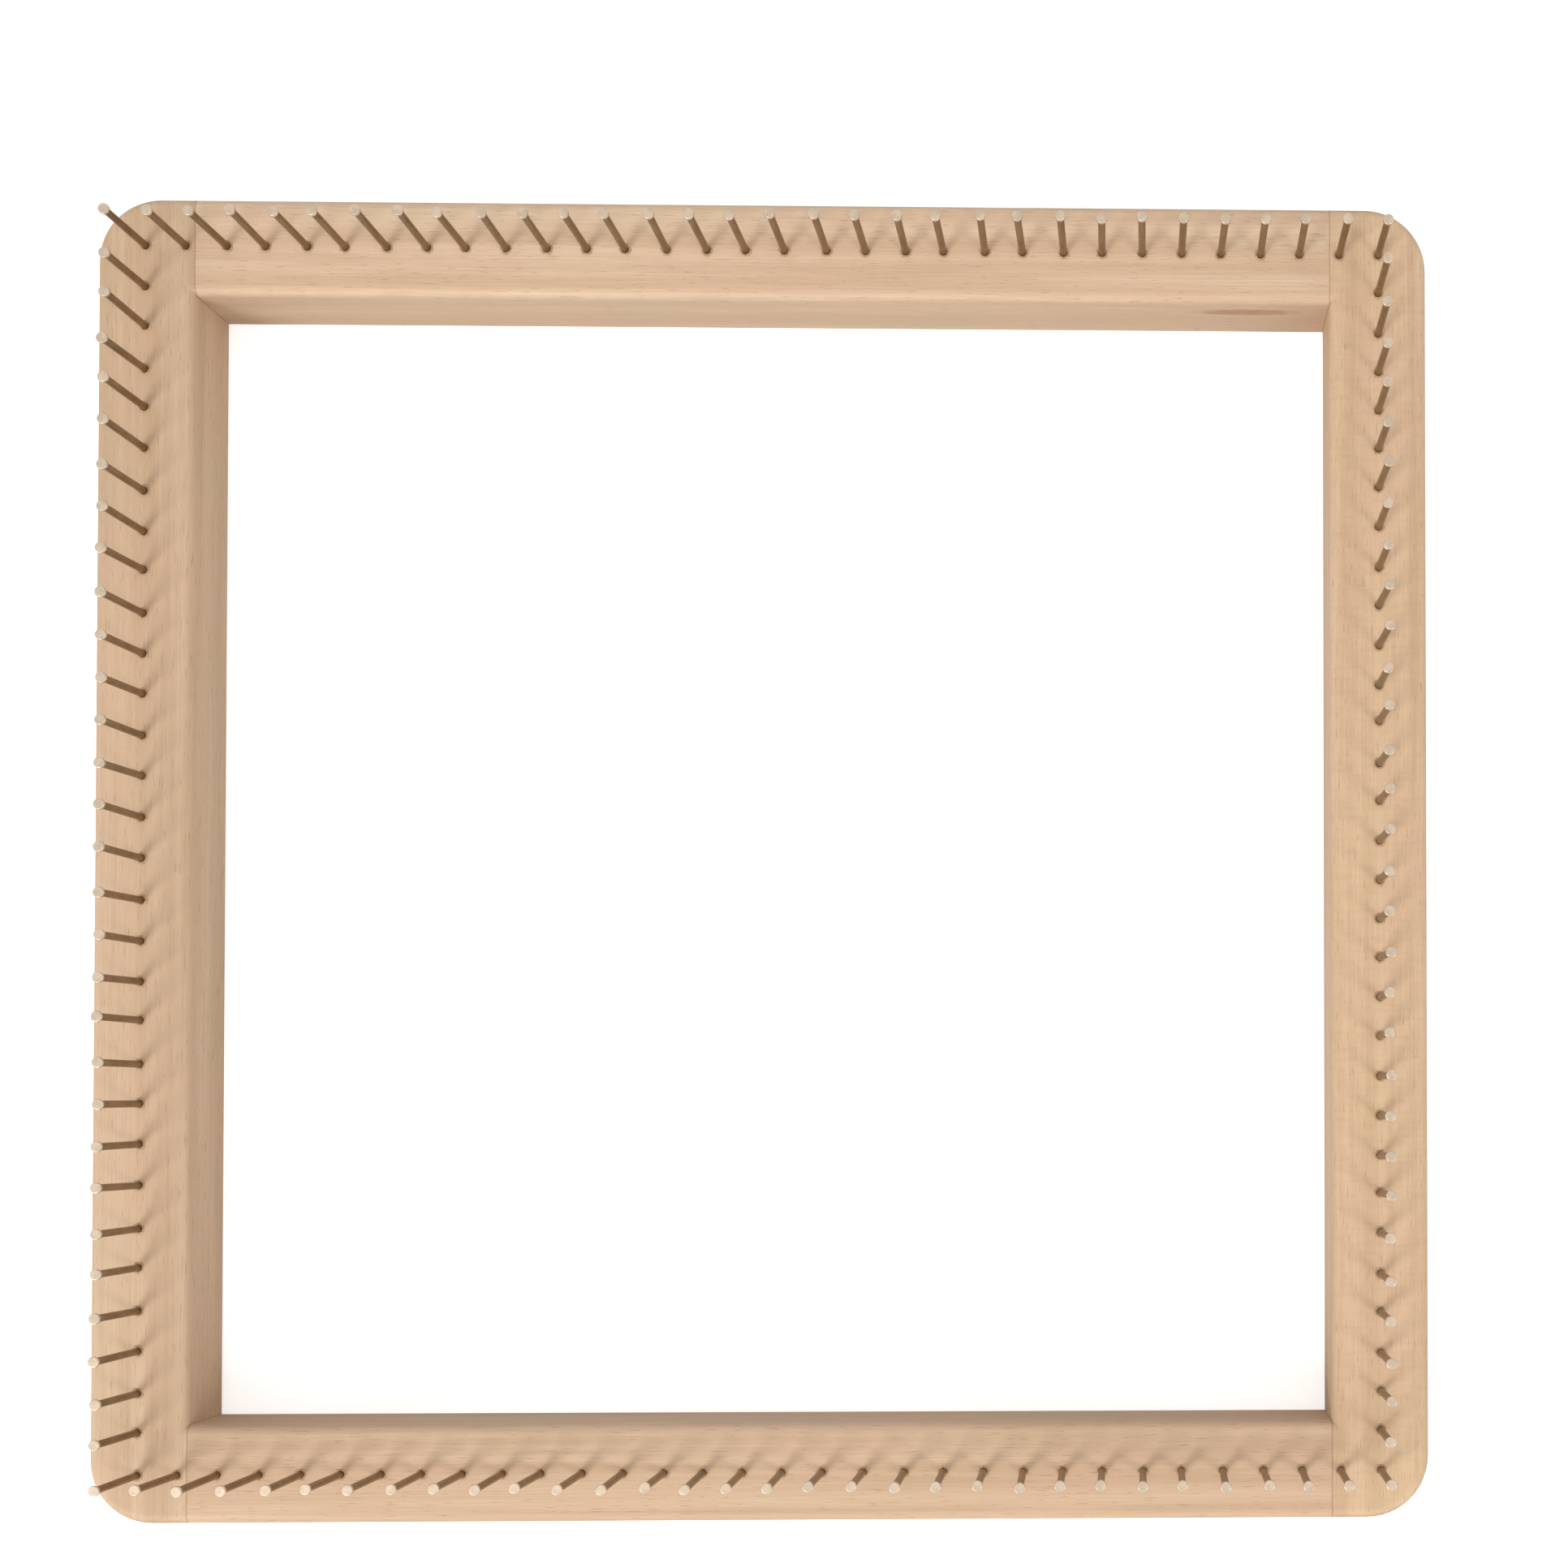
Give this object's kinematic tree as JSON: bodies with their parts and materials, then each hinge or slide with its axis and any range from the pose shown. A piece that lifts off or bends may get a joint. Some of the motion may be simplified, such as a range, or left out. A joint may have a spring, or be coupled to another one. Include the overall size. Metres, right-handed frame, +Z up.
{
  "type": "weaving loom",
  "caption": "Flat square wooden frame loom with a row of upright headed nails along every side, for looping and weaving yarn.",
  "frame": {"origin": "on the table, under the middle of the frame", "axes": "+Z up along the nails, +X to the right rail, +Y to the back rail"},
  "size_m": [0.3, 0.298, 0.04],
  "materials": {
    "side_rail_wood": "sanded pale hardwood with a thin satin oil, straight grain along the rail",
    "cross_rail_wood": "sanded pale hardwood with a thin satin oil, straight grain along the rail and a darker streak",
    "nail_steel": "drawn steel wire with a dull sheen and flat pressed heads",
    "dowel_beech": "turned beech, glued in"
  },
  "bodies": {
    "root": {"left_rail": "side_rail_wood", "right_rail": "side_rail_wood", "back_rail": "cross_rail_wood", "front_rail": "cross_rail_wood", "left_nails": "nail_steel", "right_nails": "nail_steel", "back_nails": "nail_steel", "front_nails": "nail_steel", "back_left_corner_nail": "nail_steel", "back_right_corner_nail": "nail_steel", "front_left_corner_nail": "nail_steel", "front_right_corner_nail": "nail_steel", "back_left_outer_dowel": "dowel_beech", "back_left_inner_dowel": "dowel_beech", "back_right_outer_dowel": "dowel_beech", "back_right_inner_dowel": "dowel_beech", "front_left_outer_dowel": "dowel_beech", "front_left_inner_dowel": "dowel_beech", "front_right_outer_dowel": "dowel_beech", "front_right_inner_dowel": "dowel_beech"}
  },
  "joints": []
}
